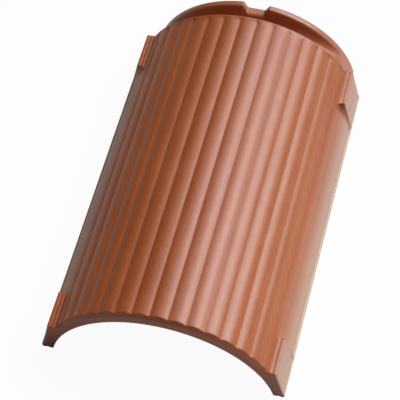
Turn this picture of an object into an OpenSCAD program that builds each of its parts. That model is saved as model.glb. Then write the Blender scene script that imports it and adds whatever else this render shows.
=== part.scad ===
// Half-round ridge tile of fired clay with a reeded back.
// One piece of stock: an arched shell, four corner lugs, a stepped-in neck at the
// head and a notched flange that the next tile's foot laps over.
// Millimetres. +Z up, +Y from the foot end to the head end, the crown on X = 0.
// Origin: middle of the tile's footprint, on the surface that the feet stand on.

/* [Shell] */
// Width over the two foot lips
foot_width = 240; // [200:1:300]
// Length of the reeded body, foot end to the head edge
body_length = 366; // [280:1:480]
// Height of the reed crests at the crown
crown_height = 100; // [84:1:125]
// Wall at the crown, from the reed crests to the underside
crown_wall = 14.5; // [12:0.5:20]
// Width of each foot on the ground, with its lip
sole_width = 11.2; // [9:0.2:16]
// Length along the tile of the bevel round the outer edge of the foot end
foot_bevel_length = 2.8; // [1:0.2:4]
// Depth of that bevel below the reed crests, at the end face
foot_bevel_depth = 4.2; // [2:0.2:6]

/* [Reeds] */
// Whole reeds across the back, with one on the crown
reed_count = 13; // [9:2:13]
// Angle from one reed to the next, in degrees
reed_pitch = 8.3; // [7.5:0.1:8.6]
// Depth of the grooves below the crests
reed_depth = 1.6; // [1:0.2:3]
// Width of the smooth bead along the head edge
bead_width = 3; // [2:0.5:8]
// Rise of the bead above the crests
bead_rise = 0.8; // [0.4:0.2:1.6]

/* [Feet] */
// Height of the small lip along each foot
lip_height = 5; // [3:0.5:8]
// How far each lip stands out from the side above it
lip_reach = 1.8; // [1:0.2:4]
// Width of the shallow groove under each foot
sole_groove_width = 4; // [2:0.5:5]
// Depth of the shallow groove under each foot
sole_groove_depth = 1.2; // [0.6:0.2:2]

/* [Lugs] */
// Length of each foot lug along the tile
lug_length = 40; // [20:1:70]
// Length of each head lug along the tile
head_lug_length = 44; // [20:1:70]
// Height of the ledge on top of each lug
lug_height = 42; // [30:1:44]
// Width of the ledge, outward from the body's side
ledge_width = 7.7; // [5:0.1:10]
// Height of the two small ridges on each ledge
ridge_height = 1; // [0.6:0.2:1.6]
// Width of each small ridge
ridge_width = 1.8; // [1.2:0.2:2.4]

/* [Neck and flange] */
// Length of the stepped-in neck beyond the head edge, with the flange
neck_length = 34; // [24:1:60]
// Gap between the flange and the underside of a tile lapped over it
lap_clearance = 1.5; // [0.5:0.5:3]
// Thickness of the flange along the tile
flange_thickness = 8; // [6:0.5:14]
// Height of the flange above the neck at the crown
flange_rise = 15.5; // [11:0.5:20]
// Height at which the flange runs out into the sides of the neck
run_out_height = 33; // [24:1:42]
// Wall of the neck at the crown
neck_wall = 12.5; // [10:0.5:16]
// Width of each foot of the neck on the ground
neck_sole_width = 12; // [9:0.5:16]
// Thickness of the end wall that joins the body to the neck
shoulder_thickness = 14; // [10:1:20]
// Depth of the crown notch below the top of the flange
notch_depth = 9; // [5:0.5:10]
// Width of the crown notch at its floor
notch_floor = 18; // [10:1:26]
// Width of the crown notch at the top of the flange
notch_mouth = 28; // [27:1:40]

/* [Hidden] */
$fn = 96;
// Overlap that makes cuts run clear of a face
cut = 1;
// Size of the blanks that trim a section, larger than any tile
blank = 800;
clay = [0.72, 0.44, 0.31];

// Radius of the circle whose top is at the given height and that is half_width
// from the crown line at the level base
function arc_radius(half_width, height, base) =
    (pow(half_width, 2) + pow(height - base, 2)) / (2 * (height - base));
// Half width at height z of a circle centred on the crown line
function half_at(radius, centre_z, z) = sqrt(pow(radius, 2) - pow(z - centre_z, 2));

total_length = body_length + neck_length;
foot_half = foot_width / 2;
// Outer face: through the crown and the side just above the lip
side_half = foot_half - lip_reach;
crest_radius = arc_radius(side_half, crown_height, lip_height);
crest_z = crown_height - crest_radius;
groove_radius = crest_radius - reed_depth;
// Underside: one wall below the crown, one foot in from the edge on the ground
arch_height = crown_height - crown_wall;
arch_half = foot_half - sole_width;
arch_radius = arc_radius(arch_half, arch_height, 0);
arch_z = arch_height - arch_radius;
// Radius of one reed: its circle touches the crests and meets the next at the groove
reed_radius = (pow(crest_radius, 2) + pow(groove_radius, 2)
    - 2 * crest_radius * groove_radius * cos(reed_pitch / 2))
    / (2 * (crest_radius - groove_radius * cos(reed_pitch / 2)));
last_reed = (reed_count + 1) / 2;
sole_middle = (arch_half + foot_half) / 2;
sole_groove_r = arc_radius(sole_groove_width / 2, sole_groove_depth, 0);
// Half width of the outer face at the lug's ledge
ledge_inner = half_at(crest_radius, crest_z, lug_height);
ledge_outer = ledge_inner + ledge_width;
// Flange: follows the underside of the tile that laps over it
flange_radius = arch_radius - lap_clearance;
flange_top = arch_z + flange_radius;
flange_foot_half = half_at(flange_radius, arch_z, 0);
notch_z = flange_top - notch_depth;
// Neck: a flatter arch that meets the flange's circle at the run-out height
neck_top = flange_top - flange_rise;
run_out_half = half_at(flange_radius, arch_z, run_out_height);
neck_radius = arc_radius(run_out_half, neck_top, run_out_height);
neck_z = neck_top - neck_radius;
neck_arch_top = neck_top - neck_wall;
neck_arch_radius = arc_radius(flange_foot_half - neck_sole_width, neck_arch_top, 0);
neck_arch_z = neck_arch_top - neck_arch_radius;

// Stands a section drawn in X and Z upright and runs it along Y from start to end
module along(start, end) {
    translate([0, end - total_length / 2, 0])
        rotate([90, 0, 0])
            linear_extrude(end - start) children();
}

// Half plane above the ground
module above_ground() {
    translate([-blank / 2, 0]) square([blank, blank / 2]);
}

// Strip above the ground and within the width over the feet
module above_feet() {
    translate([-foot_half, 0]) square([foot_width, blank / 2]);
}

// Disc whose centre lies on the crown line at height z
module disc(radius, z) {
    translate([0, z]) circle(radius);
}

// Fan that covers the reeds and leaves the smooth sides free
module reed_fan() {
    spread = last_reed * reed_pitch;
    translate([0, crest_z])
        polygon([[0, 0], [-blank * sin(spread), blank * cos(spread)],
                 [0, 2 * blank], [blank * sin(spread), blank * cos(spread)]]);
}

// Outer section of the body: smooth sides, and reeds as circles set round the back
module reeded_outline() {
    difference() {
        disc(crest_radius, crest_z);
        reed_fan();
    }
    disc(groove_radius, crest_z);
    translate([0, crest_z])
        for (k = [-last_reed : last_reed])
            rotate(k * reed_pitch)
                translate([0, crest_radius - reed_radius]) circle(reed_radius);
}

// Small lips that square off both feet
module lip_outline() {
    translate([-foot_half, 0]) square([foot_width, lip_height]);
}

// Shallow round-bottomed grooves under the feet
module sole_grooves() {
    for (side = [-1, 1])
        translate([side * sole_middle, sole_groove_depth - sole_groove_r]) circle(sole_groove_r);
}

// Arched shell, open through both ends
module shell() {
    along(0, body_length)
        difference() {
            intersection() {
                union() {
                    reeded_outline();
                    lip_outline();
                }
                above_feet();
            }
            disc(arch_radius, arch_z);
            sole_grooves();
        }
}

// Smooth bead that ends the reeds at the head edge
module head_bead() {
    along(body_length - bead_width, body_length)
        difference() {
            intersection() {
                disc(crest_radius + bead_rise, crest_z);
                reed_fan();
                translate([-blank / 2, lug_height]) square([blank, blank / 2]);
            }
            disc(arch_radius, arch_z);
        }
}

// Lug section on one side: a level ledge, a leaning face down to the lip, two ridges
module lug_outline() {
    difference() {
        intersection() {
            polygon([[ledge_inner - ledge_width, lug_height], [ledge_outer, lug_height],
                     [side_half, lip_height], [arch_half, lip_height]]);
            above_feet();
        }
        disc(arch_radius, arch_z);
    }
    for (place = [0.3, 0.78])
        translate([ledge_inner + place * ledge_width, lug_height])
            polygon([[-ridge_width / 2, -cut], [-ridge_width / 2, 0], [0, ridge_height],
                     [ridge_width / 2, 0], [ridge_width / 2, -cut]]);
}

// Four lugs, one at each corner, flush with the ends of the body
module lugs() {
    for (side = [0, 1]) {
        along(0, lug_length) mirror([side, 0]) lug_outline();
        along(body_length - head_lug_length, body_length) mirror([side, 0]) lug_outline();
    }
}

// Underside of the neck
module neck_arch() {
    disc(neck_arch_radius, neck_arch_z);
}

// End wall that steps the body in to the neck
module shoulder() {
    along(body_length - shoulder_thickness, body_length)
        difference() {
            intersection() {
                disc(groove_radius, crest_z);
                above_ground();
            }
            neck_arch();
            sole_grooves();
        }
}

// Neck: a flatter arch whose sides follow the flange
module neck() {
    along(body_length - cut, total_length)
        difference() {
            intersection() {
                disc(neck_radius, neck_z);
                disc(flange_radius, arch_z);
                above_ground();
            }
            neck_arch();
        }
}

// Notch in the flange at the crown, with a level floor and leaning walls
module crown_notch() {
    lean = (notch_mouth - notch_floor) / 2 / notch_depth;
    high = notch_mouth / 2 + lean * cut;
    polygon([[-notch_floor / 2, notch_z], [notch_floor / 2, notch_z],
             [high, flange_top + cut], [-high, flange_top + cut]]);
}

// Flange that stands up round the head end
module flange() {
    along(total_length - flange_thickness, total_length)
        difference() {
            intersection() {
                disc(flange_radius, arch_z);
                above_ground();
            }
            neck_arch();
            crown_notch();
        }
}

// Ring that bevels the outer edge of the foot end above the lugs, about the crests' axis
module foot_end_bevel() {
    slope = foot_bevel_depth / foot_bevel_length;
    intersection() {
        translate([0, -total_length / 2, crest_z])
            rotate([-90, 0, 0])
                difference() {
                    translate([0, 0, -cut])
                        cylinder(r = crest_radius + 2 * cut, h = foot_bevel_length + cut);
                    translate([0, 0, -2 * cut])
                        cylinder(r1 = crest_radius - foot_bevel_depth - 2 * cut * slope,
                                 r2 = crest_radius + cut * slope, h = foot_bevel_length + 3 * cut);
                }
        translate([-blank / 2, -blank / 2, lug_height]) cube([blank, blank, blank]);
    }
}

module ridge_tile() {
    color(clay) union() {
        difference() {
            shell();
            foot_end_bevel();
        }
        head_bead();
        lugs();
        shoulder();
        neck();
        flange();
    }
}

ridge_tile();
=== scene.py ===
"""Looks of a half-round ridge tile of fired clay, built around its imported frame.

The tile's skin is one closed grid: a section outline is carried from the foot end to
the head end, and the outline changes on the way for the bevel, the lugs, the bead, the
neck, the flange and its notch. Sizes are in millimetres, as in the part's source, and
are turned into metres when the mesh is made.
"""

import logging
import math
from dataclasses import dataclass, field
from enum import Enum

import bpy
import numpy as np
from mathutils import Matrix, Vector


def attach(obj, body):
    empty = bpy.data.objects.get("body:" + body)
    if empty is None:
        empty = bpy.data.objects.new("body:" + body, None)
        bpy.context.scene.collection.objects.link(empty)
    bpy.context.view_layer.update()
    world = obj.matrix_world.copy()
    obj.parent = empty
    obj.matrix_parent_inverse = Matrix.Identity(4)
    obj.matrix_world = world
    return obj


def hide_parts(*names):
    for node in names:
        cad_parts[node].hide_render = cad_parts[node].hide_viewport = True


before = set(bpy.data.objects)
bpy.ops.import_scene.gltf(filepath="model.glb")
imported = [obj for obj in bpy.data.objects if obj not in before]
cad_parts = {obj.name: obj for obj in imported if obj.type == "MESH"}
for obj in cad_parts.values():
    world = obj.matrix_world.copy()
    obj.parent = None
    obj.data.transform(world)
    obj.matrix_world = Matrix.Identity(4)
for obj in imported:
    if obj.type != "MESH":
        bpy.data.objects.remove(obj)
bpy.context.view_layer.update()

LOG = logging.getLogger("ridge_tile")
MM = 0.001
Colour = tuple[float, float, float, float]


def soft_max(first: np.ndarray, second: np.ndarray, blend: float) -> np.ndarray:
    """Larger of two arrays, with the crossing rounded.

    Formula: max(a, b) + h * h * blend / 4, where h = max(blend - |a - b|, 0) / blend.

    Args:
        first: One array of values.
        second: The other array of values.
        blend: Difference below which the two are blended.

    Returns:
        The blended maximum.
    """
    near = np.maximum(blend - np.abs(first - second), 0.0) / blend
    return np.maximum(first, second) + near * near * blend / 4.0


def soft_min(first: np.ndarray, second: np.ndarray, blend: float) -> np.ndarray:
    """Smaller of two arrays, rounded as soft_max is: -soft_max(-a, -b)."""
    return -soft_max(-first, -second, blend)


def smooth_step(value: "np.ndarray | float", start: float, end: float) -> np.ndarray:
    """Rise from 0 at start to 1 at end along 3t^2 - 2t^3, with t clamped to 0..1."""
    t = np.clip((value - start) / (end - start), 0.0, 1.0)
    return t * t * (3.0 - 2.0 * t)


def arc_radius(half_width: float, height: float, base: float) -> float:
    """Radius of the circle through the crown at height and half_width at base.

    Formula: (w^2 + h^2) / (2 h), with h the height above the base.

    Args:
        half_width: Distance from the crown line at the base.
        height: Height of the crown.
        base: Height of the base.

    Returns:
        The radius.
    """
    rise = height - base
    return (half_width**2 + rise**2) / (2.0 * rise)


def polar_circle(angle: np.ndarray, radius: float, offset: float) -> np.ndarray:
    """Distance from an axis to a circle whose centre is offset above the axis.

    Formula: d cos(t) + sqrt(r^2 - d^2 sin^2(t)), with d the offset and t the angle
    from the vertical. Where a ray misses the circle, the root counts as 0.

    Args:
        angle: Angles from the vertical, in radians.
        radius: Radius of the circle.
        offset: Height of its centre above the axis.

    Returns:
        One distance for each angle.
    """
    square = np.maximum(radius**2 - (offset * np.sin(angle)) ** 2, 0.0)
    return offset * np.cos(angle) + np.sqrt(square)


def direction(azimuth: float, elevation: float) -> Vector:
    """Unit vector by its angles: (sin a cos e, -cos a cos e, sin e).

    Args:
        azimuth: Angle a about the vertical from the tile's foot end, in degrees.
        elevation: Angle e over the ground, in degrees.

    Returns:
        The vector from the tile.
    """
    turn, rise = math.radians(azimuth), math.radians(elevation)
    level = math.cos(rise)
    return Vector((math.sin(turn) * level, -math.cos(turn) * level, math.sin(rise)))


def linked(name: str, data: bpy.types.ID) -> bpy.types.Object:
    """Makes an object and links it to the scene.

    Args:
        name: The object's name.
        data: Its mesh, camera or lamp.

    Returns:
        The object.
    """
    made = bpy.data.objects.new(name, data)
    bpy.context.scene.collection.objects.link(made)
    return made


class Zone(Enum):
    """Stretches of the right half of the outer outline, with their count of steps."""

    REEDS = 98
    LEDGE = 26
    SIDE = 16
    LIP = 12


OUTER_STEPS = sum(zone.value for zone in Zone)
FACE_POINTS = 2 * OUTER_STEPS + 1
CORNER_STEPS = 4
SOLE_STEPS = 18
FOOT_STEPS = SOLE_STEPS + 2 * CORNER_STEPS


@dataclass(frozen=True)
class Arch:
    """Shell of the body, as in the part's source.

    Attributes are sizes in millimetres. The reeds' pitch is in degrees, side_start and
    side_run are in pitches, and edge_share is the part of a groove's depth that is
    left at the head edge.
    """

    foot_width: float = 240.0
    body_length: float = 366.0
    crown_height: float = 100.0
    crown_wall: float = 14.5
    sole_width: float = 11.2
    bevel_length: float = 2.8
    bevel_depth: float = 4.2
    bevel_blend: float = 0.5
    reed_pitch: float = 8.3
    reed_depth: float = 1.5
    last_reed: int = 7
    reed_blend: float = 0.45
    side_depth: float = 0.55
    side_start: float = 0.5
    side_run: float = 0.8
    bead_width: float = 3.0
    bead_rise: float = 0.08
    bead_ramp: tuple[float, float] = (-1.0, 1.6)
    run_out: float = 6.5
    run_out_end: float = 0.4
    edge_share: float = 0.14
    lip_height: float = 5.0
    lip_reach: float = 1.8
    lip_edge: float = 0.7
    lip_fillet: tuple[tuple[float, float], ...] = ((0.0, 0.35), (0.25, 0.08))
    groove_width: float = 4.0
    groove_depth: float = 1.2
    groove_fade: float = 4.0

    @property
    def foot_half(self) -> float:
        """Half width over the lips."""
        return self.foot_width / 2.0

    @property
    def side_half(self) -> float:
        """Half width of the side just above the lip."""
        return self.foot_half - self.lip_reach

    @property
    def crest_radius(self) -> float:
        """Radius of the circle that the reed crests touch."""
        return arc_radius(self.side_half, self.crown_height, self.lip_height)

    @property
    def crest_z(self) -> float:
        """Height of the crests' axis."""
        return self.crown_height - self.crest_radius

    @property
    def arch_half(self) -> float:
        """Half width of the underside on the ground."""
        return self.foot_half - self.sole_width

    @property
    def arch_radius(self) -> float:
        """Radius of the underside."""
        return arc_radius(self.arch_half, self.crown_height - self.crown_wall, 0.0)

    @property
    def arch_z(self) -> float:
        """Height of the underside's centre."""
        return self.crown_height - self.crown_wall - self.arch_radius

    @property
    def fan(self) -> float:
        """Angle from the crown to the last reed's crest, in radians."""
        return math.radians(self.reed_pitch * self.last_reed)

    def reed_radius_at(self, angle: np.ndarray) -> np.ndarray:
        """Distance from the crests' axis to the reeded face.

        Each reed is a circle that touches the crests' circle. The nearest two reeds
        meet in a groove, which soft_max rounds. Past the last crest the reed falls to a
        shallow groove, side_depth deep, and the side rises from it along (1 - t)^2.

        Args:
            angle: Angles from the vertical, in radians.

        Returns:
            One distance for each angle.
        """
        crest = self.crest_radius
        groove = crest - self.reed_depth
        half = math.radians(self.reed_pitch / 2.0)
        chord = groove * math.cos(half)
        reed = (crest**2 + groove**2 - 2 * crest * chord) / (2 * (crest - chord))
        place = np.abs(angle) / (2.0 * half)
        swing = (place - np.round(place)) * 2.0 * half
        other = 2.0 * half - np.abs(swing)
        here, there = (polar_circle(turn, reed, crest - reed) for turn in (swing, other))
        face = soft_max(here, there, self.reed_blend)
        shallow = crest - (crest - face) * self.side_depth / self.reed_depth
        groove_place = self.last_reed + self.side_start
        past = np.clip((place - groove_place) / self.side_run, 0.0, 1.0)
        side = crest - self.side_depth * (1.0 - past) ** 2
        outer = np.where(place > groove_place, side, shallow)
        return np.where(place > self.last_reed, outer, face)


@dataclass(frozen=True)
class Lug:
    """Corner lug: a ledge with two small ridges and a leaning face to the lip.

    Attributes are sizes in millimetres. ridge_spread is a share of the ridge's width.
    edge_in and edge_down say how far the rounded outer edge moves for each millimetre
    of its drop. end_fillet holds distances from the lug's end into the plain body as
    negative numbers, each with the share of the lug's form there.
    """

    foot_length: float = 40.0
    head_length: float = 44.0
    height: float = 42.0
    ledge_width: float = 8.7
    ridge_height: float = 0.17
    ridge_width: float = 1.9
    ridge_spread: float = 0.55
    ridge_places: tuple[float, float] = (1.9, 6.1)
    edge: float = 1.6
    edge_in: float = 0.35
    edge_down: float = 0.6
    tilt: float = 0.9
    lip_cover: float = 0.9
    end_fillet: tuple[tuple[float, float], ...] = (
        (-5.5, 0.0),
        (-4.2, 0.04),
        (-3.0, 0.12),
        (-2.0, 0.24),
        (-1.2, 0.39),
        (-0.6, 0.56),
        (-0.2, 0.74),
        (0.05, 0.88),
        (0.3, 0.96),
        (0.8, 1.0),
    )

    def ledge_profile(self, inner: float, share: np.ndarray) -> np.ndarray:
        """Ledge from its inner to its outer edge, with two round-topped ridges.

        Formula: height + sum of ridge * exp(-((x - x0) / spread)^2), less the tilt
        times the share of the width, and a rounded drop near the outer edge.

        Args:
            inner: Distance of the ledge's inner edge from the crown line.
            share: Places across the ledge, from 0 to 1.

        Returns:
            Points as rows of distance and height.
        """
        across = inner + share * self.ledge_width
        spread = self.ridge_spread * self.ridge_width
        rise = sum(
            self.ridge_height * np.exp(-(((across - inner - place) / spread) ** 2))
            for place in self.ridge_places
        )
        left = np.maximum(self.edge - (1.0 - share) * self.ledge_width, 0.0)
        drop = self.edge - np.sqrt(np.maximum(self.edge**2 - left**2, 0.0))
        height = self.height + rise - self.tilt * share - self.edge_down * drop
        return np.column_stack([across - self.edge_in * drop, height])


@dataclass(frozen=True)
class Neck:
    """Stepped-in neck with its notched flange. Sizes in millimetres.

    Attributes:
        foot_lean: How far the foot stands out for each millimetre of height.
        shoulder_half: Half the run over which the underside steps in.
        least_rise: Height below which the flange counts as the neck.
        shoulder: Stations from the body's end face to the neck, each with its share of
            the way in and its distance past the end face.
        front: Stations up the flange's front, each with its share of the way up, its
            distance past the leaning front, and its share of the notch's flare.
    """

    length: float = 34.0
    lap_clearance: float = 1.5
    flange_thickness: float = 8.0
    flange_rise: float = 15.5
    run_out_height: float = 33.0
    channel_blend: float = 1.2
    wall: float = 12.5
    sole_width: float = 12.0
    foot_lean: float = 0.2
    shoulder_thickness: float = 14.0
    shoulder_half: float = 1.2
    notch_depth: float = 9.0
    notch_floor: float = 18.0
    notch_mouth: float = 28.0
    notch_blend: float = 1.6
    notch_flare: float = 2.2
    rim_blend: float = 0.3
    least_rise: float = 0.05
    front_lean: float = 5.5
    back_edge: float = 1.6
    shoulder: tuple[tuple[float, float], ...] = (
        (0.04, 0.0), (0.12, 0.0), (0.25, 0.0), (0.4, 0.0), (0.55, 0.0), (0.7, 0.0),
        (0.83, 0.0), (0.92, 0.06), (0.97, 0.35), (0.99, 0.8), (1.0, 1.6), (1.0, 3.2),
    )
    front: tuple[tuple[float, float, float], ...] = (
        (0.0, -0.7, 1.0), (0.02, -0.2, 1.0), (0.07, 0.0, 1.0), (0.15, 0.0, 1.0),
        (0.25, 0.0, 1.0), (0.36, 0.0, 1.0), (0.48, 0.0, 1.0), (0.6, 0.0, 1.0),
        (0.71, 0.03, 1.0), (0.8, 0.15, 0.95), (0.87, 0.42, 0.8), (0.93, 0.9, 0.55),
        (0.97, 1.5, 0.3), (0.99, 2.1, 0.12), (1.0, 3.0, 0.0),
    )

    def flange_radius(self, arch: Arch) -> float:
        """Radius of the flange, which follows the underside of a lapped tile."""
        return arch.arch_radius - self.lap_clearance

    def flange_top(self, arch: Arch) -> float:
        """Height of the flange at the crown, were there no notch."""
        return arch.arch_z + self.flange_radius(arch)

    def neck_top(self, arch: Arch) -> float:
        """Height of the neck at the crown."""
        return self.flange_top(arch) - self.flange_rise

    def foot_half(self, arch: Arch) -> float:
        """Half width of the neck on the ground."""
        return math.sqrt(self.flange_radius(arch) ** 2 - arch.arch_z**2)

    def arch_half(self, arch: Arch) -> float:
        """Half width of the neck's underside on the ground."""
        return self.foot_half(arch) - self.sole_width

    def arch_radius(self, arch: Arch) -> float:
        """Radius of the neck's underside."""
        return arc_radius(self.arch_half(arch), self.neck_top(arch) - self.wall, 0.0)

    def neck_distance(self, arch: Arch, angle: np.ndarray) -> np.ndarray:
        """Distance from the crests' axis to the neck: the smaller of its two circles.

        Args:
            arch: Shell of the body.
            angle: Angles from the vertical, in radians.

        Returns:
            One distance for each angle.
        """
        radius = self.flange_radius(arch)
        run_out_half = math.sqrt(radius**2 - (self.run_out_height - arch.arch_z) ** 2)
        back = arc_radius(run_out_half, self.neck_top(arch), self.run_out_height)
        upper = polar_circle(angle, back, self.neck_top(arch) - back - arch.crest_z)
        return soft_min(upper, self.flange_distance(arch, angle), self.channel_blend)

    def flange_distance(self, arch: Arch, angle: np.ndarray) -> np.ndarray:
        """Distance from the crests' axis to the flange's circle, without the notch."""
        return polar_circle(angle, self.flange_radius(arch), arch.arch_z - arch.crest_z)

    def notched(self, arch: Arch, outline: np.ndarray, wider: float) -> np.ndarray:
        """Cuts the crown notch into the flange's outline.

        Formula: height = soft_min(flange, floor + soft_max(0, wall)), where the wall
        rises from the floor's edge to the mouth's edge over the notch's depth.

        Args:
            arch: Shell of the body.
            outline: Outline as rows of distance and height.
            wider: How far each wall of the notch stands back.

        Returns:
            The outline with the notch.
        """
        out = np.abs(outline[:, 0]) - wider
        lean = self.notch_depth / ((self.notch_mouth - self.notch_floor) / 2.0)
        rise = (out - self.notch_floor / 2.0) * lean
        wall = soft_max(rise, np.zeros_like(out), self.notch_blend)
        floor = self.flange_top(arch) - self.notch_depth
        height = soft_min(outline[:, 1], floor + wall, self.notch_blend)
        return np.column_stack([outline[:, 0], height])


@dataclass(frozen=True)
class Row:
    """One station of the tile's grid. Places are millimetres from the foot end.

    Attributes:
        outer_y: Place of the outer outline, one value or one for each point.
        inner_y: Place of the inner outline.
        outer: Right half of the outer outline, from the crown to the foot.
        inner: Right half of the inner outline, from the crown to the foot.
    """

    outer_y: "float | np.ndarray"
    inner_y: float
    outer: np.ndarray
    inner: np.ndarray


@dataclass(frozen=True)
class Outlines:
    """Outlines that the stations are made from, as rows of distance and height.

    Attributes:
        plain: Outer outline between the lugs.
        with_lug: Outer outline through the lugs.
        underside: Inner outline of the body.
        low: Inner outline of the neck.
    """

    plain: np.ndarray
    with_lug: np.ndarray
    underside: np.ndarray
    low: np.ndarray


@dataclass(frozen=True)
class Stations:
    """Spacing of the skin's columns and rows. Lengths in millimetres.

    Attributes:
        reed_steps: Columns from a crest to the groove, as shares of half a pitch.
        ledge_share: Pitches from the last crest to the ledge's outer column.
        ledge_fade: Angles about the last crest over which the ledge takes over.
        lip_turns: Points round the lip's edge.
        notch_columns: Columns up to the notch's wall and over the wall.
        notch_reach: How far the close columns reach inside and outside the wall.
        foot_end: Rows, by their distance from the foot end.
        foot_lug: Rows on the foot lugs.
        lug_gap: Distance of their last row from the lugs' end.
        middle: Rows between the lugs.
        margin: Distance of the even rows from the foot end and from the lugs.
        head: Rows of the head lugs and the bead, by their place from the foot end.
        step_from: Place up to which the underside's rows keep level with the outer.
        step_rows: Places of three outer rows at the underside's step.
        step_places: The places inside that belong to them, counted from the step.
        inner_pitch: Distance of the underside's rows behind the body's end face.
        channel: Rows along the neck.
        channel_gaps: Distances of their ends from the end face and the flange.
        front_reach: How far the underside's rows reach past the flange's front.
        back: Distance of the last whole flange row from the head end.
        head_end: Rows, by their distance from the head end.
        foot_blend: Share of a half section from which an end face follows the foot.
    """

    reed_steps: tuple[float, ...] = (0.0, 0.22, 0.43, 0.62, 0.78, 0.9, 0.965)
    ledge_share: float = 0.8
    ledge_fade: tuple[float, float] = (-0.07, 0.004)
    lip_turns: int = 7
    notch_columns: tuple[int, int] = (12, 40)
    notch_reach: tuple[float, float] = (2.2, 2.4)
    foot_end: tuple[float, ...] = (0.0, 0.12, 0.3, 0.6, 1.0, 1.4, 1.8, 2.2, 2.6, 3.0, 3.5, 4.2)
    foot_lug: int = 5
    lug_gap: float = 2.0
    middle: int = 24
    margin: float = 10.0
    head: tuple[float, ...] = (
        324.6, 332.0, 340.0, 345.0, 348.0, 350.0, 351.0, 352.0, 353.0,
        354.0, 355.0, 356.4, 357.8, 359.2, 360.4, 361.4, 362.2, 362.8,
        363.3, 363.8, 364.3, 364.8, 365.2, 365.5, 365.75, 365.9, 366.0,
    )
    step_from: float = 347.0
    step_rows: tuple[float, float, float] = (346.0, 355.0, 366.0)
    step_places: tuple[float, float, float] = (-2.5, 2.5, 8.5)
    inner_pitch: float = 0.6
    channel: int = 4
    channel_gaps: tuple[float, float] = (6.0, 1.5)
    front_reach: float = 2.2
    back: float = 3.0
    head_end: tuple[float, ...] = (1.6, 1.1, 0.7, 0.4, 0.15, 0.0)
    foot_blend: float = 0.93


@dataclass(frozen=True)
class Cover:
    """Where the slip lies and where a painted sheen makes it pale. Degrees from the vertical,
    millimetres.

    Attributes:
        slip: Shares of the way from the outer to the inner face where the slip ends.
        outer: Share up to which a vertex belongs to the outer face.
        body_end: Distances before the end face over which the body's painted shade and painted
            sheen fade.
        sides: Angles over which the sides turn pale with the painted sheen.
        lug_rise: Heights over the crests from which a lug's face counts.
        lug_share: Share of the painted sheen on the lugs' faces.
        ledge_drop: Depths below the ledges over which the lugs' painted sheen gives way to the
            ledges' own colour.
        fillet_start: Distances past a lug's end over which its fillet, darker with less painted
            sheen, begins.
        fillet_end: Distances past a lug's end over which it ends.
        fillet_turn: Angles from which a fillet counts.
        fillet_loss: Share of the painted sheen that a fillet loses.
        neck_share: Share of the painted sheen on the end face and the neck.
        neck_half: Half the run over which that share sets in.
    """

    slip: tuple[float, float] = (0.1, 0.6)
    outer: float = 0.01
    body_end: tuple[float, float] = (4.0, 1.0)
    sides: tuple[float, float] = (58.0, 78.0)
    lug_rise: tuple[float, float] = (0.1, 1.2)
    lug_share: float = 0.65
    ledge_drop: tuple[float, float] = (2.4, 1.4)
    fillet_start: tuple[float, float] = (-1.6, -0.3)
    fillet_end: tuple[float, float] = (1.5, 5.5)
    fillet_turn: tuple[float, float] = (56.0, 62.0)
    fillet_loss: float = 0.85
    neck_share: float = 0.25
    neck_half: float = 1.0


@dataclass(frozen=True)
class Pattern:
    """Noise pattern of the clay.

    Attributes:
        stretch: Factors on the coordinates, larger where the pattern is finer.
        scale: Repeats a metre.
        detail: Octaves.
        seed: Shift that sets this pattern apart from the others.
        tone: Weight in the slip's tone.
        relief: Weight in the bump.
        roughness: Weight of each octave against the one before.
    """

    stretch: tuple[float, float, float]
    scale: float
    detail: float
    seed: float
    tone: float = 0.0
    relief: float = 0.0
    roughness: float = 0.55

    @property
    def shift(self) -> tuple[float, float, float]:
        """Shift of the coordinates by the seed, different along each axis."""
        return (self.seed, self.seed * 0.7, self.seed * 1.3)


@dataclass(frozen=True)
class ClaySlip:
    """Fired clay with a thin satin slip. Colours are linear red, green and blue.

    The tone runs from dark over middle to light at the three stops. Specks darken it
    between the fleck limits. Painted shade darkens the grooves and a painted sheen pales
    the sides, the lugs' faces and the neck, each by its share, and raw clay shows where
    the slip ends. bump_depth is in metres.
    """

    light: Colour = (0.508, 0.150, 0.040, 1.0)
    middle: Colour = (0.448, 0.117, 0.031, 1.0)
    dark: Colour = (0.380, 0.086, 0.025, 1.0)
    # Painted shade in the grooves.
    hollow: Colour = (0.340, 0.082, 0.022, 1.0)
    # Painted sheen: a pale colour that stands in for reflected light on the sides, the lugs' faces
    # and the neck.
    painted_sheen: Colour = (0.56, 0.390, 0.285, 1.0)
    raw: Colour = (0.40, 0.155, 0.100, 1.0)
    raw_dark: Colour = (0.32, 0.116, 0.070, 1.0)
    tone_stops: tuple[float, float, float] = (0.25, 0.52, 0.8)
    tone_shift: float = 0.08
    fleck_limits: tuple[float, float] = (0.48, 0.68)
    fleck_share: float = 0.6
    groove_shade_share: float = 0.02
    groove_shade_streak: float = 0.1
    painted_sheen_share: float = 0.6
    painted_sheen_cloud: float = 0.3
    roughness: float = 0.35
    roughness_spread: float = 0.08
    hollow_roughness: float = 0.1
    raw_roughness: float = 0.78
    bump_strength: float = 0.55
    bump_depth: float = 0.00022
    specular: float = 0.58
    broad: Pattern = Pattern((1.0, 0.6, 1.0), 9.0, 2.0, 0.3, tone=0.45)
    streak: Pattern = Pattern((1.0, 0.05, 1.0), 190.0, 3.0, 1.7, tone=0.35, relief=0.9)
    cloud: Pattern = Pattern((1.0, 0.45, 1.0), 60.0, 4.0, 2.9, tone=0.35, relief=1.6)
    speck: Pattern = Pattern((1.0, 1.0, 1.0), 620.0, 3.0, 4.1, relief=1.1)
    grain: Pattern = Pattern((1.0, 1.0, 1.0), 2600.0, 3.0, 5.3, relief=0.55)


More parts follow.
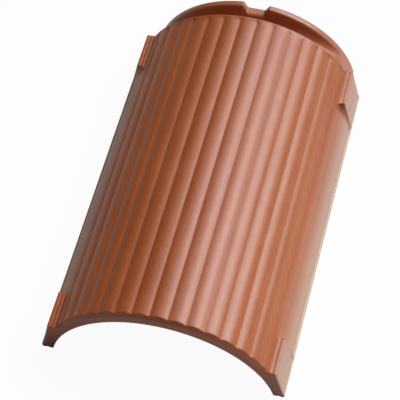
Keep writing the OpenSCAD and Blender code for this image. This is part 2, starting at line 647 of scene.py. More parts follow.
class Signal:
    """One output socket of a node tree, on which Python's arithmetic adds Math nodes."""

    def __init__(self, bench: "NodeBench", socket: bpy.types.NodeSocket) -> None:
        """Wraps a socket of the bench's tree."""
        self.bench = bench
        self.socket = socket

    def _math(self, operation: str, first: "Signal | float", second: "Signal | float") -> "Signal":
        """Adds a Math node with the two values and returns its result."""
        return self.bench.add("ShaderNodeMath", {"operation": operation}, {0: first, 1: second})

    def __add__(self, other: "Signal | float") -> "Signal":
        """Sum."""
        return self._math("ADD", self, other)

    def __radd__(self, other: float) -> "Signal":
        """Sum with a number first."""
        return self._math("ADD", other, self)

    def __sub__(self, other: "Signal | float") -> "Signal":
        """Difference."""
        return self._math("SUBTRACT", self, other)

    def __rsub__(self, other: float) -> "Signal":
        """Difference with a number first."""
        return self._math("SUBTRACT", other, self)

    def __mul__(self, other: "Signal | float") -> "Signal":
        """Product."""
        return self._math("MULTIPLY", self, other)

    def __rmul__(self, other: float) -> "Signal":
        """Product with a number first."""
        return self._math("MULTIPLY", other, self)


class NodeBench:
    """Node tree of one material or world, with one method that adds a node."""

    def __init__(self, tree: bpy.types.NodeTree) -> None:
        """Empties the tree and keeps it.

        Args:
            tree: Node tree to build in.
        """
        self.tree = tree
        tree.nodes.clear()

    def add(
        self,
        kind: str,
        settings: dict[str, object] | None = None,
        sockets: "dict[str | int, Signal | float | tuple] | None" = None,
        output: "int | str" = 0,
    ) -> Signal:
        """Adds a node, sets it up, and returns one of its outputs.

        Args:
            kind: Blender's name of the node type.
            settings: Settings by name, set first; stops holds a ramp's places and colours.
            sockets: Values or signals by input name or number.
            output: Name or number of the output to return.

        Returns:
            The chosen output as a signal.
        """
        node = self.tree.nodes.new(kind)
        for name, value in (settings or {}).items():
            if name == "stops":
                ramp = node.color_ramp
                while len(ramp.elements) < len(value):
                    ramp.elements.new(0.5)
                for element, (place, colour) in zip(ramp.elements, value):
                    element.position = place
                    element.color = colour
            else:
                setattr(node, name, value)
        for name, value in (sockets or {}).items():
            if isinstance(value, Signal):
                self.tree.links.new(value.socket, node.inputs[name])
            else:
                node.inputs[name].default_value = value
        if not node.outputs:
            return Signal(self, node.inputs[0])
        return Signal(self, node.outputs[output])

    def noise(self, place: Signal, pattern: Pattern) -> Signal:
        """Noise from 0 to 1 whose pattern is stretched along the tile's axes.

        Args:
            place: Coordinates.
            pattern: The noise's pattern.

        Returns:
            The noise's value.
        """
        sockets = {"Vector": place, "Location": pattern.shift, "Scale": pattern.stretch}
        moved = self.add("ShaderNodeMapping", None, sockets)
        sockets = {"Vector": moved, "Scale": pattern.scale, "Detail": pattern.detail}
        sockets["Roughness"] = pattern.roughness
        return self.add("ShaderNodeTexNoise", None, sockets)

    def blend(self, factor: Signal, first: "Signal | tuple", second: "Signal | tuple") -> Signal:
        """Mix of two colours by a factor, through a Mix node."""
        sockets = {0: factor, 6: first, 7: second}
        return self.add("ShaderNodeMix", {"data_type": "RGBA"}, sockets, 2)

    def between(
        self, value: Signal, limits: tuple[float, float], low: float, high: float
    ) -> Signal:
        """Value that goes from low to high while the signal crosses the two limits."""
        sockets = {0: value, 1: limits[0], 2: limits[1], 3: low, 4: high}
        return self.add("ShaderNodeMapRange", {"clamp": True}, sockets)


@dataclass
class FiredClay:
    """Material of the tile, built from a clay slip's values."""

    slip: ClaySlip = field(default_factory=ClaySlip)

    def material(self) -> bpy.types.Material:
        """Makes the clay: broad tone, lengthwise streaks, specks, painted shade in the grooves, a
        painted sheen, raw clay, grain.

        Returns:
            The material.
        """
        made = bpy.data.materials.new("fired_clay")
        made.use_nodes = True
        bench = NodeBench(made.node_tree)
        slip = self.slip
        place = bench.add("ShaderNodeTexCoord", None, None, "Object")
        hollow, coated, pale = (
            bench.add("ShaderNodeAttribute", {"attribute_name": name}, None, "Fac")
            for name in ("hollow", "coated", "pale")
        )
        broad, streak, cloud, speck, grain = (
            bench.noise(place, pattern)
            for pattern in (slip.broad, slip.streak, slip.cloud, slip.speck, slip.grain)
        )

        tone = broad * slip.broad.tone + streak * slip.streak.tone + cloud * slip.cloud.tone
        stops = list(zip(slip.tone_stops, (slip.dark, slip.middle, slip.light)))
        warm = bench.add("ShaderNodeValToRGB", {"stops": stops}, {0: tone - slip.tone_shift})
        flecks = bench.between(speck, slip.fleck_limits, 0.0, slip.fleck_share)
        flecked = bench.blend(flecks, warm, slip.dark)
        # Painted shade: the grooves darken towards this colour by their depth.
        groove_shade_amount = hollow * (slip.groove_shade_share + streak * slip.groove_shade_streak)
        shaded = bench.blend(groove_shade_amount, flecked, slip.hollow)
        # Painted sheen: the sides, the lugs' faces and the neck turn pale towards this colour,
        # standing in for reflected light.
        sheen_amount = pale * (slip.painted_sheen_share + cloud * slip.painted_sheen_cloud)
        sheened = bench.blend(sheen_amount, shaded, slip.painted_sheen)
        colour = bench.blend(coated, bench.blend(cloud, slip.raw, slip.raw_dark), sheened)

        satin = slip.roughness - slip.roughness_spread / 2.0
        smooth = satin + cloud * slip.roughness_spread + hollow * slip.hollow_roughness
        roughness = coated * smooth + (1.0 - coated) * slip.raw_roughness

        height = grain * slip.grain.relief + speck * slip.speck.relief
        height = height + cloud * slip.cloud.relief + streak * slip.streak.relief
        sockets = {"Strength": slip.bump_strength, "Distance": slip.bump_depth, "Height": height}
        bump = bench.add("ShaderNodeBump", None, sockets)
        sockets = {"Base Color": colour, "Roughness": roughness, "Normal": bump}
        sockets["Specular IOR Level"] = slip.specular
        surface = bench.add("ShaderNodeBsdfPrincipled", None, sockets)
        bench.add("ShaderNodeOutputMaterial", None, {"Surface": surface})
        return made


@dataclass
class TileSkin:
    """Whole tile as one closed grid: outlines carried from the foot to the head."""

    arch: Arch = field(default_factory=Arch)
    lug: Lug = field(default_factory=Lug)
    neck: Neck = field(default_factory=Neck)
    stations: Stations = field(default_factory=Stations)
    cover: Cover = field(default_factory=Cover)
    clay: FiredClay = field(default_factory=FiredClay)
    corner: float = 0.5
    foot_edge: float = 0.9
    inner_edge: float = 0.8
    head_edge: float = 0.9
    lug_head_edge: float = 2.0
    sharp_angle: float = 38.0

    @property
    def total_length(self) -> float:
        """Length of the body with the neck."""
        return self.arch.body_length + self.neck.length

    def reed_angles(self) -> np.ndarray:
        """Angles of the reeded stretch, closer together near each groove.

        Returns:
            The angles from the crown to the last crest, in radians.
        """
        half = self.arch.reed_pitch / 2.0
        steps = np.array(self.stations.reed_steps) * half
        pair = np.concatenate([steps, [half], 2 * half - steps[:0:-1]])
        count = self.arch.last_reed
        starts = np.arange(count)[:, None] * self.arch.reed_pitch
        return np.radians(np.append((starts + pair[None, :]).ravel(), count * self.arch.reed_pitch))

    def along_polyline(self, points: np.ndarray, count: int) -> np.ndarray:
        """Points at even steps along a polyline.

        Args:
            points: Polyline as rows of distance and height.
            count: Number of steps.

        Returns:
            count + 1 points.
        """
        length = np.append(0.0, np.cumsum(np.hypot(*np.diff(points, axis=0).T)))
        even = np.linspace(0.0, length[-1], count + 1)
        return np.column_stack([np.interp(even, length, points[:, k]) for k in (0, 1)])

    def lip_points(self) -> np.ndarray:
        """Lip from the side, out along its top, round its edge and down.

        Returns:
            Points as rows of distance and height.
        """
        arch, edge = self.arch, self.arch.lip_edge
        turn = np.radians(np.linspace(90.0, 0.0, self.stations.lip_turns))
        top = np.array(arch.lip_fillet) + [arch.side_half, arch.lip_height]
        across = arch.foot_half - edge + edge * np.cos(turn)
        height = arch.lip_height - edge + edge * np.sin(turn)
        bottom = np.array([[arch.foot_half, self.corner]])
        points = np.concatenate([top, np.column_stack([across, height]), bottom])
        return self.along_polyline(points, Zone.LIP.value)

    def plain_outline(self) -> np.ndarray:
        """Right half of the outer outline between the lugs, from the crown to the lip.

        Returns:
            OUTER_STEPS + 1 points as rows of distance and height.
        """
        arch = self.arch
        angles = self.reed_angles()
        ledge_angle = arch.fan + math.radians(self.stations.ledge_share * arch.reed_pitch)
        lip = self.lip_points()
        side_angle = math.atan2(lip[0, 0], lip[0, 1] - arch.crest_z)
        ledge = np.linspace(arch.fan, ledge_angle, Zone.LEDGE.value + 1)[1:]
        side = np.linspace(ledge_angle, side_angle, Zone.SIDE.value + 1)[1:]
        angle = np.concatenate([angles, ledge, side])
        return np.concatenate([self.outline_at(angle, arch.reed_radius_at(angle)), lip[1:]])

    @property
    def ledge_inner(self) -> float:
        """Distance of the ledge's inner edge from the crown line."""
        arch = self.arch
        return math.sqrt(arch.crest_radius**2 - (self.lug.height - arch.crest_z) ** 2)

    def lug_outline(self, plain: np.ndarray) -> np.ndarray:
        """Outline through a lug: the plain one with the ledge and the leaning face.

        Args:
            plain: Outline between the lugs.

        Returns:
            The outline with the same count of points.
        """
        outline = plain.copy()
        first = Zone.REEDS.value
        middle = first + Zone.LEDGE.value
        last = middle + Zone.SIDE.value
        share = np.linspace(0.0, 1.0, Zone.LEDGE.value + 1)
        ledge = self.lug.ledge_profile(self.ledge_inner, share)
        outline[first : middle + 1] = ledge
        side = np.linspace(0.0, 1.0, Zone.SIDE.value + 1)[:, None]
        low = plain[last] + [self.lug.lip_cover, 0.0]
        outline[middle : last + 1] = ledge[-1] + side * (low - ledge[-1])
        outline[last + 1 :, 0] = np.maximum(outline[last + 1 :, 0], low[0])
        return outline

    def neck_angles(self, plain: np.ndarray) -> np.ndarray:
        """Angles of the neck's outline, closer together at the notch's walls.

        Args:
            plain: Outline of the body, whose count of points the neck keeps.

        Returns:
            OUTER_STEPS + 1 angles, in radians.
        """
        arch, neck = self.arch, self.neck
        (inside, outside), (flat, wall) = self.stations.notch_reach, self.stations.notch_columns
        reach = neck.flange_top(arch) - arch.crest_z
        near = math.atan2(neck.notch_floor / 2 - inside, reach)
        far = math.atan2(neck.notch_mouth / 2 + outside, reach)
        upper = np.concatenate(
            [
                np.linspace(0.0, near, flat + 1)[:-1],
                np.linspace(near, far, wall + 1)[:-1],
                np.linspace(far, arch.fan, Zone.REEDS.value + 1 - flat - wall),
            ]
        )
        body = plain[Zone.REEDS.value :]
        body = np.arctan2(body[:, 0], body[:, 1] - arch.crest_z)
        foot_half = neck.foot_half(arch) + self.corner * neck.foot_lean
        foot = math.atan2(foot_half, self.corner - arch.crest_z)
        share = (body - body[0]) / (body[-1] - body[0])
        return np.concatenate([upper, arch.fan + share[1:] * (foot - arch.fan)])

    def outline_at(self, angle: np.ndarray, distance: np.ndarray) -> np.ndarray:
        """Points at the given angles and distances from the crests' axis."""
        height = self.arch.crest_z + distance * np.cos(angle)
        return np.column_stack([distance * np.sin(angle), height])

    def inner_outline(self, half: float, radius: float, centre: float) -> np.ndarray:
        """Right half of an underside, from the crown to just above the foot's corner.

        Args:
            half: Half width on the ground.
            radius: Radius of the underside.
            centre: Height of its centre.

        Returns:
            OUTER_STEPS + 1 points.
        """
        spread = np.linspace(0.0, math.atan2(half, self.corner - centre), OUTER_STEPS + 1)
        spread[-1] = math.acos((self.corner - centre) / radius)
        return np.column_stack([radius * np.sin(spread), centre + radius * np.cos(spread)])

    def foot_strip(self, outer: np.ndarray, inner: np.ndarray) -> np.ndarray:
        """Foot from the outer to the inner face: a rounded corner, the sole, a corner.

        Each corner is a curve (1-t)^2 A + 2t(1-t) C + t^2 B about the corner C.

        Args:
            outer: Last point of the outer outline, above the corner.
            inner: Last point of the inner outline, above the corner.

        Returns:
            FOOT_STEPS + 1 points, ends included.
        """
        t = np.linspace(0.0, 1.0, CORNER_STEPS + 1)[:, None]
        out_corner, in_corner = np.array([outer[0], 0.0]), np.array([inner[0], 0.0])
        flat_start, flat_end = out_corner - [self.corner, 0.0], in_corner + [self.corner, 0.0]
        first = (1 - t) ** 2 * outer + 2 * t * (1 - t) * out_corner + t**2 * flat_start
        last = (1 - t) ** 2 * flat_end + 2 * t * (1 - t) * in_corner + t**2 * inner
        sole = flat_start + np.linspace(0.0, 1.0, SOLE_STEPS + 1)[:, None] * (flat_end - flat_start)
        return np.concatenate([first[:-1], sole, last[1:]])

    def with_sole_groove(self, points: np.ndarray) -> np.ndarray:
        """Raises the points over the body's sole into its shallow groove.

        Formula: z + depth * (0.5 + 0.5 cos(pi d)) * fade, with d the distance from the
        groove's middle over its half width, and fade falling to 0 at groove_fade.

        Args:
            points: Points, whose last axis is distance, place along the tile, height.

        Returns:
            The points with the groove.
        """
        arch = self.arch
        middle = (arch.arch_half + arch.foot_half) / 2.0
        off = np.abs(np.abs(points[..., 0]) - middle) / (arch.groove_width / 2.0)
        wave = 0.5 + 0.5 * np.cos(np.pi * np.clip(off, 0.0, 1.0))
        fade = 1.0 - smooth_step(points[..., 2], 0.0, arch.groove_fade)
        lifted = points.copy()
        lifted[..., 2] += arch.groove_depth * wave * fade
        return lifted

    @staticmethod
    def inset(outline: np.ndarray, distance: "float | np.ndarray") -> np.ndarray:
        """Moves an outline inwards along its normals.

        The normal is the direction between neighbours, turned a quarter.

        Args:
            outline: Points from the crown to the foot.
            distance: How far, towards the wall's middle.

        Returns:
            The moved outline, with its crown still on the crown line.
        """
        before = np.vstack([outline[1] * [-1.0, 1.0], outline[:-1]])
        after = np.vstack([outline[1:], 2 * outline[-1] - outline[-2]])
        run = after - before
        normal = np.column_stack([run[:, 1], -run[:, 0]]) / np.hypot(*run.T)[:, None]
        return outline + normal * np.asarray(distance).reshape(-1, 1)

    @staticmethod
    def rounding(radius: float, step: float) -> float:
        """Inset of a rounded edge at a distance from the end: r - sqrt(r^2 - (r - t)^2)."""
        left = max(radius - step, 0.0)
        return radius - math.sqrt(max(radius**2 - left**2, 0.0))

    def foot_end_rows(self, lines: Outlines) -> "list[Row]":
        """Foot end: the bevel above the ledges, and rounded edges elsewhere.

        The bevel keeps the reeds inside the cone crest - depth + slope * y.

        Args:
            lines: Outlines of the body.

        Returns:
            The stations from the end face to the bevel's far edge.
        """
        arch, plain = self.arch, lines.plain
        above = self.above_ledge(plain)
        reach = np.hypot(plain[:, 0], plain[:, 1] - arch.crest_z)
        slope = arch.bevel_depth / arch.bevel_length
        rows = []
        for step in self.stations.foot_end:
            cone = arch.crest_radius - arch.bevel_depth + slope * step
            bevel = soft_max(reach - cone, np.zeros_like(reach), arch.bevel_blend)
            worn = np.maximum(bevel * above, self.rounding(self.foot_edge, step))
            inner = self.inset(lines.underside, -self.rounding(self.inner_edge, step))
            rows.append(Row(step, step, self.inset(lines.with_lug, worn), inner))
        return rows

    def above_ledge(self, plain: np.ndarray) -> np.ndarray:
        """Share from 1 over the reeds to 0 from the lugs' ledges down.

        Args:
            plain: Outer outline between the lugs.

        Returns:
            One share for each point.
        """
        angle = np.arctan2(plain[:, 0], plain[:, 1] - self.arch.crest_z)
        start, end = (self.arch.fan + shift for shift in self.stations.ledge_fade)
        return 1.0 - smooth_step(angle, start, end)

    def body_rows(self, lines: Outlines) -> "list[Row]":
        """Body from the foot lugs to the head lugs. The lugs' ends are short ramps.

        Args:
            lines: Outlines of the body.

        Returns:
            The stations.
        """
        spots, plain, underside = self.stations, lines.plain, lines.underside
        foot_lug = self.lug.foot_length
        head_lug = self.arch.body_length - self.lug.head_length
        added = lines.with_lug - plain
        ramp = [(run, plain + share * added) for run, share in self.lug.end_fillet]
        on_lug = np.linspace(spots.margin, foot_lug - spots.lug_gap, spots.foot_lug)
        between = np.linspace(foot_lug + spots.margin, head_lug - spots.margin, spots.middle)
        rows = [(y, lines.with_lug) for y in on_lug]
        rows += [(foot_lug - run, outer) for run, outer in ramp[::-1]]
        rows += [(y, plain) for y in between]
        rows += [(head_lug + run, outer) for run, outer in ramp]
        return [Row(y, y, outer, underside) for y, outer in rows]

    def head_rows(self, lines: Outlines) -> "list[Row]":
        """Head of the body: the underside steps in, the grooves run out, the bead rises.

        The grooves' depth falls along 3t^2 - 2t^3 to its edge_share. The bead is that
        face plus its rise, and rolls into the end face by a rounded edge.

        Args:
            lines: Outlines of the body and the neck.

        Returns:
            The stations up to the body's end face.
        """
        arch, neck, spots, plain = self.arch, self.neck, self.stations, lines.plain
        end = arch.body_length
        above = self.above_ledge(plain)[:, None]
        reach = np.hypot(plain[:, 0], plain[:, 1] - arch.crest_z)
        centre = np.array([0.0, arch.crest_z])
        inner_step, half = end - neck.shoulder_thickness, neck.shoulder_half
        bead_start, bead_end = (end - arch.bead_width + shift for shift in arch.bead_ramp)
        places = np.array(spots.head)
        stepped = [inner_step + shift for shift in spots.step_places]
        stepped = np.interp(places, spots.step_rows, stepped)
        inner_places = np.where(places < spots.step_from, places, stepped)
        rows = []
        for y, inner_y in zip(places.tolist(), inner_places.tolist()):
            fade = 1.0 - smooth_step(y, end - arch.run_out, end - arch.run_out_end)
            kept = arch.edge_share + (1.0 - arch.edge_share) * fade
            rise = smooth_step(y, bead_start, bead_end) * arch.bead_rise
            roll = self.rounding(self.head_edge, end - y)
            radius = arch.crest_radius - (arch.crest_radius - reach) * kept + rise - roll
            bead = centre + (plain - centre) * (radius / reach)[:, None]
            lugged = self.inset(lines.with_lug, self.rounding(self.lug_head_edge, end - y))
            outer = bead * above + lugged * (1.0 - above)
            share = smooth_step(inner_y, inner_step - half, inner_step + half)
            inner = lines.underside + share * (lines.low - lines.underside)
            rows.append(Row(y, inner_y, outer, inner))
        return rows

    def rim_outline(self, channel: np.ndarray, whole: np.ndarray, wider: float) -> np.ndarray:
        """Flange's outline with its notch, and nowhere lower than the neck's.

        Args:
            channel: Outline of the neck.
            whole: Outline of the flange without the notch.
            wider: How far each wall of the notch stands back.

        Returns:
            The outline.
        """
        rim = self.neck.notched(self.arch, whole, wider)
        rim[:, 1] = soft_max(rim[:, 1], channel[:, 1], self.neck.rim_blend)
        return rim

    def neck_rows(self, last: Row, lines: Outlines) -> "list[Row]":
        """End face of the body, the neck, and the flange with its notch.

        The flange's front leans: y = front - lean * (1 - h)^2, with h the height above
        the neck as a share of the flange's whole height. Its front and back top edges
        are rounded.

        Args:
            last: Station at the body's end face.
            lines: Outlines of the body and the neck.

        Returns:
            The stations up to the head end.
        """
        arch, neck, spots, low = self.arch, self.neck, self.stations, lines.low
        angle = self.neck_angles(lines.plain)
        channel = self.outline_at(angle, neck.neck_distance(arch, angle))
        whole = self.outline_at(angle, neck.flange_distance(arch, angle))
        rows = []
        for k, (share, away) in enumerate(neck.shoulder):
            inner_y = last.inner_y + spots.inner_pitch * (k + 1)
            outer = last.outer + share * (channel - last.outer)
            rows.append(Row(arch.body_length + away, inner_y, outer, low))
        front = self.total_length - neck.flange_thickness
        foot = front - neck.front_lean
        start, end = arch.body_length + spots.channel_gaps[0], foot - spots.channel_gaps[1]
        rows += [Row(y, y, channel, low) for y in np.linspace(start, end, spots.channel)]
        rim = self.rim_outline(channel, whole, 0.0)
        tall = np.linalg.norm(whole - channel, axis=1)
        cut = np.linalg.norm(rim - channel, axis=1)
        least = neck.least_rise
        ratio = np.where(tall > least, cut / np.maximum(tall, least), 1.0)
        for k, (share, away, flare) in enumerate(neck.front):
            wide = self.rim_outline(channel, whole, flare * neck.notch_flare)
            y = front - neck.front_lean * (1.0 - share * ratio) ** 2 + away
            inner_y = foot + (neck.front_lean + spots.front_reach) * k / len(neck.front)
            rows.append(Row(y, inner_y, channel + share * (wide - channel), low))
        rows.append(Row(self.total_length - spots.back, self.total_length - spots.back, rim, low))
        for left in spots.head_end:
            outer = self.inset(rim, self.rounding(neck.back_edge, left))
            inner = self.inset(low, -self.rounding(self.inner_edge, left))
            outer[-1, 1] = inner[-1, 1] = self.corner
            rows.append(Row(self.total_length - left, self.total_length - left, outer, inner))
        return rows

    def rows(self) -> "list[Row]":
        """Makes all stations.

        Returns:
            The stations from the foot to the head, in order.
        """
        arch, neck = self.arch, self.neck
        plain = self.plain_outline()
        low_radius = neck.arch_radius(arch)
        low_z = neck.neck_top(arch) - neck.wall - low_radius
        lines = Outlines(
            plain=plain,
            with_lug=self.lug_outline(plain),
            underside=self.inner_outline(arch.arch_half, arch.arch_radius, arch.arch_z),
            low=self.inner_outline(neck.arch_half(arch), low_radius, low_z),
        )
        rows = self.foot_end_rows(lines) + self.body_rows(lines) + self.head_rows(lines)
        return rows + self.neck_rows(rows[-1], lines)

    def pale(self, loop: np.ndarray, along: np.ndarray, reach: np.ndarray) -> np.ndarray:
        """Painted sheen, as a pale colour: low on the sides, on the lugs' faces, and on the neck.

        Formula: the larger of sides and share * lugs * (1 - ledges), times
        1 - loss * fillets, and from the end face on at least the neck's share.

        Args:
            loop: Distance and height of each vertex.
            along: Place of each vertex from the foot end.
            reach: Distance of each vertex from the crests' axis.

        Returns:
            One value from 0 to 1 for each vertex.
        """
        arch, lug, cover = self.arch, self.lug, self.cover
        turn = np.degrees(np.arctan2(np.abs(loop[:, :, 0]), loop[:, :, 1] - arch.crest_z))
        lugs = smooth_step(reach - arch.crest_radius, *cover.lug_rise)
        low, high = (lug.height - drop for drop in cover.ledge_drop)
        ledges = smooth_step(loop[:, :, 1], low, high)
        past_foot_lug = along - lug.foot_length
        past_head_lug = arch.body_length - lug.head_length - along
        past = np.where(along < arch.body_length / 2.0, past_foot_lug, past_head_lug)
        ends = 1.0 - smooth_step(past, *cover.fillet_end)
        fillets = smooth_step(past, *cover.fillet_start) * ends
        fillets = fillets * smooth_step(turn, *cover.fillet_turn)
        sides = smooth_step(turn, *cover.sides)
        faces = np.maximum(sides, cover.lug_share * lugs * (1.0 - ledges))
        half = cover.neck_half
        neck = smooth_step(along, arch.body_length - half, arch.body_length + half)
        faces = faces * (1.0 - cover.fillet_loss * fillets) * self.on_body(along)
        return np.maximum(faces, cover.neck_share * neck)

    def on_body(self, along: np.ndarray) -> np.ndarray:
        """Share from 1 on the body to 0 just before its end face."""
        start, end = (self.arch.body_length - gap for gap in self.cover.body_end)
        return 1.0 - smooth_step(along, start, end)

    def grid(self) -> tuple[np.ndarray, dict[str, np.ndarray]]:
        """Vertices of all stations: a closed loop for each.

        The loop runs over the outer face from the left foot to the right, along the
        right foot, back over the underside and along the left foot.

        Returns:
            Points in millimetres (stations, loop, 3), and for each of them the share of
            painted shade by the depth in a groove, the slip's cover and the share of the
            painted sheen, all from 0 to 1.
        """
        arch, cover = self.arch, self.cover
        rows = self.rows()
        outer = np.array([row.outer for row in rows])
        inner = np.array([row.inner for row in rows])
        foot = np.array([self.foot_strip(row.outer[-1], row.inner[-1]) for row in rows])[:, 1:-1]
        outer_y = np.array([np.broadcast_to(row.outer_y, OUTER_STEPS + 1) for row in rows])
        inner_y = np.array([row.inner_y for row in rows])[:, None]
        mirror = np.array([-1.0, 1.0])
        right = [outer, foot, inner[:, ::-1]]
        left = [(inner * mirror)[:, 1:], (foot * mirror)[:, ::-1]]
        loop = np.concatenate([(outer * mirror)[:, :0:-1], *right, *left], axis=1)
        across = np.linspace(0.0, 1.0, FOOT_STEPS + 1)[1:-1]
        share = np.concatenate([np.zeros(FACE_POINTS), across, np.ones(FACE_POINTS), across[::-1]])
        foot_y = outer_y[:, -1:] * (1.0 - across) + inner_y * across
        inner_line = np.repeat(inner_y, FACE_POINTS, axis=1)
        places = [outer_y[:, :0:-1], outer_y, foot_y, inner_line, foot_y[:, ::-1]]
        along = np.concatenate(places, axis=1)
        points = np.dstack([loop[:, :, 0], along - self.total_length / 2.0, loop[:, :, 1]])
        reach = np.hypot(loop[:, :, 0], loop[:, :, 1] - arch.crest_z)
        depth = np.clip((arch.crest_radius - reach) / arch.reed_depth, 0.0, 1.0)
        coated = 1.0 - smooth_step(share, *cover.slip)
        # The marks: painted shade in the grooves, the slip's cover, and the painted sheen.
        marks = {
            "hollow": depth**2 * self.on_body(along) * (share < cover.outer),
            "coated": np.broadcast_to(coated, along.shape),
            "pale": self.pale(loop, along, reach),
        }
        return self.with_sole_groove(points), marks

    def cap_points(self, loop: np.ndarray) -> np.ndarray:
        """Points inside an end face, between the outer and the inner outline.

        A point is a straight mix of the outer and the inner point of its column, by the
        share of the foot strip, and near the feet it also takes the strip's own shape.

        Args:
            loop: One station's loop.

        Returns:
            Points (columns without the two feet, rows without the two outlines, 3).
        """
        outer = loop[:FACE_POINTS]
        inner_start = FACE_POINTS + FOOT_STEPS - 1
        inner = loop[inner_start : inner_start + FACE_POINTS][::-1]
        right = loop[FACE_POINTS:inner_start]
        straight = np.linspace(0.0, 1.0, FOOT_STEPS + 1)[1:-1][:, None]
        share = (right[:, 0] - outer[-1, 0]) / (inner[-1, 0] - outer[-1, 0])
        bend = right[:, 2] - (outer[-1, 2] + share * (inner[-1, 2] - outer[-1, 2]))
        column = np.abs(np.arange(FACE_POINTS) - OUTER_STEPS) / OUTER_STEPS
        near = smooth_step(column, self.stations.foot_blend, 1.0)[1:-1, None]
        mixed = straight[None] * (1 - near)[:, :, None] + share[None, :, None] * near[:, :, None]
        points = outer[1:-1, None] * (1.0 - mixed) + inner[1:-1, None] * mixed
        points[:, :, 2] += bend[None, :] * near
        return points

    def cap_faces(self, base: int, first_new: int) -> np.ndarray:
        """Quads of an end face that share the loop's vertices on their border.

        Args:
            base: Number of the loop's first vertex.
            first_new: Number of the first vertex inside the face.

        Returns:
            Quads as rows of four vertex numbers.
        """
        inside = FOOT_STEPS - 1
        inner = base + FACE_POINTS + inside
        table = np.zeros((FACE_POINTS, FOOT_STEPS + 1), np.int64)
        table[:, 0] = base + np.arange(FACE_POINTS)
        table[:, -1] = (inner + np.arange(FACE_POINTS))[::-1]
        table[-1, 1:-1] = base + FACE_POINTS + np.arange(inside)
        table[0, 1:-1] = (inner + FACE_POINTS + np.arange(inside))[::-1]
        new = first_new + np.arange((FACE_POINTS - 2) * inside)
        table[1:-1, 1:-1] = new.reshape(FACE_POINTS - 2, -1)
        return self.quads(table[:-1], table[1:])

    @staticmethod
    def quads(here: np.ndarray, there: np.ndarray) -> np.ndarray:
        """Quads between each row of vertex numbers and the row beside it."""
        corners = [here[:, :-1], there[:, :-1], there[:, 1:], here[:, 1:]]
        return np.stack(corners, axis=-1).reshape(-1, 4)

    def build(self) -> bpy.types.Object:
        """Makes the tile's object, with its attributes and material.

        Returns:
            The object, in metres, in the frame's place.
        """
        points, marks = self.grid()
        rows, loop = points.shape[:2]
        index = np.arange(rows * loop).reshape(rows, loop)
        index = np.column_stack([index, index[:, 0]])
        caps = [self.cap_points(points[k]).reshape(-1, 3) for k in (0, -1)]
        inside = len(caps[0])
        vertices = np.concatenate([points.reshape(-1, 3), *caps])
        foot_faces = self.cap_faces(0, rows * loop)
        head_faces = self.cap_faces((rows - 1) * loop, rows * loop + inside)[:, ::-1]
        faces = np.concatenate([self.quads(index[:-1], index[1:]), foot_faces, head_faces])
        one, two, three, four = (vertices[faces[:, k]] for k in range(4))
        if np.einsum("ij,ij->i", one, np.cross(two, three) + np.cross(three, four)).sum() < 0.0:
            faces = faces[:, ::-1]
        mesh = bpy.data.meshes.new("ridge_tile_skin")
        mesh.vertices.add(len(vertices))
        mesh.vertices.foreach_set("co", (vertices * MM).astype(np.float32).ravel())
        mesh.loops.add(faces.size)
        mesh.loops.foreach_set("vertex_index", faces.astype(np.int32).ravel())
        mesh.polygons.add(len(faces))
        mesh.polygons.foreach_set("loop_start", np.arange(0, faces.size, 4, dtype=np.int32))
        mesh.update(calc_edges=True)
        for name, values in marks.items():
            layer = mesh.attributes.new(name, "FLOAT", "POINT")
            padded = np.append(values.ravel(), np.zeros(2 * inside))
            layer.data.foreach_set("value", padded.astype(np.float32))
        mesh.validate()
        mesh.shade_smooth()
        mesh.set_sharp_from_angle(angle=math.radians(self.sharp_angle))
        mesh.materials.append(self.clay.material())
        made = linked("ridge_tile_skin", mesh)
        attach(made, "root")
        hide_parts("ridge_tile")
        return made


@dataclass(frozen=True)
class Viewpoint:
    """Camera at the photograph's angle. Lengths in metres, angles in degrees."""

    azimuth: float = 15.98
    elevation: float = 56.25
    roll: float = -2.17
    distance: float = 1.6031
    across: float = 0.03643
    upward: float = 0.16411
    foot_end: float = -0.2
    focal: float = 1673.0
    picture: float = 400.0
    sensor: float = 36.0
    nearest: float = 0.05

    def build(self) -> bpy.types.Object:
        """Makes the camera and sets it as the scene's.

        Returns:
            The camera's object.
        """
        turn, roll = math.radians(self.azimuth), math.radians(self.roll)
        right = Vector((math.cos(turn), math.sin(turn), 0.0))
        back = direction(self.azimuth, self.elevation)
        up = back.cross(right)
        level = right
        right = level * math.cos(roll) + up * math.sin(roll)
        up = up * math.cos(roll) - level * math.sin(roll)
        aim = Vector((0.0, self.foot_end, 0.0)) + right * self.across + up * self.upward
        place = aim + back * self.distance
        data = bpy.data.cameras.new("photo_view")
        data.sensor_width = self.sensor
        data.lens = self.focal / self.picture * self.sensor
        data.clip_start = self.nearest
        made = linked("photo_view", data)
        axes = Matrix((right, up, back)).transposed().to_4x4()
        made.matrix_world = Matrix.Translation(place) @ axes
        bpy.context.scene.camera = made
        return made


@dataclass(frozen=True)
class SoftLamp:
    """Far lamp with a wide disc, which shades softly. Degrees, watts a square metre."""

    name: str
    azimuth: float
    elevation: float
    strength: float
    spread: float = 26.0
    distance: float = 2.0

    def build(self) -> bpy.types.Object:
        """Makes the lamp, aimed at the tile.

        Returns:
            The lamp's object.
        """
        data = bpy.data.lights.new(self.name, "SUN")
        data.angle = math.radians(self.spread)
        data.energy = self.strength
        made = linked(self.name, data)
        back = direction(self.azimuth, self.elevation)
        made.location = back * self.distance
        made.rotation_euler = back.to_track_quat("Z", "Y").to_euler()
        return made


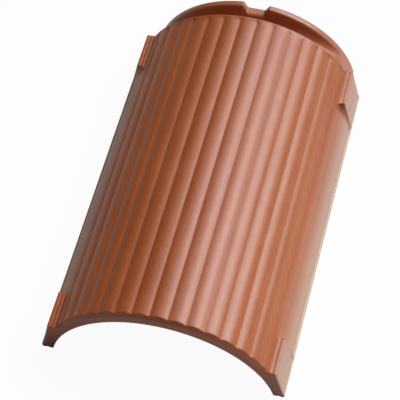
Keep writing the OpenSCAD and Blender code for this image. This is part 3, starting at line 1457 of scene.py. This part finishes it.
@dataclass(frozen=True)
class Studio:
    """Plain pale floor, a white background and soft lamps. Lengths in metres.

    The tile mirrors the floor brightly on its right and dimly on its left, as between
    a white and a dark card. sides are the places across between which that changes.
    """

    floor_size: float = 14.0
    floor_gap: float = 0.0002
    floor_colour: Colour = (0.85, 0.85, 0.85, 1.0)
    floor_roughness: float = 0.9
    floor_specular: float = 0.1
    floor_white: float = 0.95
    sides: tuple[float, float] = (-0.05, 0.15)
    mirrored_left: float = 0.08
    mirrored_right: float = 1.0
    shade_left: float = 0.3
    white: Colour = (1.0, 1.0, 1.0, 1.0)
    black: Colour = (0.0, 0.0, 0.0, 1.0)
    lamps: tuple[SoftLamp, ...] = (
        SoftLamp("key_lamp", 135.0, 50.0, 1.56),
        SoftLamp("right_lamp", 120.0, 35.0, 1.12),
        SoftLamp("back_lamp", 165.0, 50.0, 0.63),
        SoftLamp("left_lamp", 195.0, 50.0, 0.26),
        SoftLamp("front_lamp", 330.0, 10.0, 0.20),
    )

    def paper(self) -> bpy.types.Material:
        """Makes the floor's material: a plain sheet, whiter to the camera, and to glossy rays a
        painted reflection, whiter to the right and darker to the left.

        Returns:
            The material.
        """
        made = bpy.data.materials.new("pale_floor")
        made.use_nodes = True
        bench = NodeBench(made.node_tree)
        sockets = {"Base Color": self.floor_colour, "Roughness": self.floor_roughness}
        sockets["Specular IOR Level"] = self.floor_specular
        surface = bench.add("ShaderNodeBsdfPrincipled", None, sockets)
        seen = bench.add("ShaderNodeLightPath", None, None, "Is Camera Ray")
        mirrored = bench.add("ShaderNodeLightPath", None, None, "Is Glossy Ray")
        white = bench.add("ShaderNodeEmission", None, {"Color": self.white, "Strength": 1.0})
        place = bench.add("ShaderNodeTexCoord", None, None, "Object")
        across = bench.add("ShaderNodeSeparateXYZ", None, {"Vector": place}, "X")
        paler = bench.between(across, self.sides, self.mirrored_left, self.mirrored_right)
        share = seen * self.floor_white + mirrored * paler
        shade = bench.add("ShaderNodeEmission", None, {"Color": self.black, "Strength": 0.0})
        darker = bench.between(across, self.sides, self.shade_left, 0.0)
        sockets = {0: mirrored * darker, 1: surface, 2: shade}
        dimmed = bench.add("ShaderNodeMixShader", None, sockets)
        mixed = bench.add("ShaderNodeMixShader", None, {0: share, 1: dimmed, 2: white})
        bench.add("ShaderNodeOutputMaterial", None, {"Surface": mixed})
        return made

    def floor(self) -> bpy.types.Object:
        """Makes the floor as a square sheet under the tile's feet.

        Returns:
            The floor's object.
        """
        half = self.floor_size / 2.0
        mesh = bpy.data.meshes.new("studio_floor")
        turns = ((-half, -half), (half, -half), (half, half), (-half, half))
        mesh.from_pydata([(x, y, -self.floor_gap) for x, y in turns], [], [(0, 1, 2, 3)])
        mesh.materials.append(self.paper())
        made = linked("studio_floor", mesh)
        return made

    def world(self) -> None:
        """Makes the background, white to the camera. It gives the tile no light."""
        world = bpy.data.worlds.new("surround")
        bpy.context.scene.world = world
        world.use_nodes = True
        bench = NodeBench(world.node_tree)
        seen = bench.add("ShaderNodeLightPath", None, None, "Is Camera Ray")
        sky = bench.add("ShaderNodeBackground", None, {"Color": self.white, "Strength": seen})
        bench.add("ShaderNodeOutputWorld", None, {"Surface": sky})

    def build(self) -> None:
        """Makes the floor, the background and the lamps."""
        self.floor()
        self.world()
        for lamp in self.lamps:
            lamp.build()


def main() -> None:
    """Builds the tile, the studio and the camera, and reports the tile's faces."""
    logging.basicConfig(level=logging.INFO, format="%(name)s: %(message)s")
    bpy.context.scene.view_settings.view_transform = "Standard"
    tile = TileSkin().build()
    LOG.info("%s: %d faces", tile.name, len(tile.data.polygons))
    Studio().build()
    Viewpoint().build()


if __name__ == "__main__":
    main()
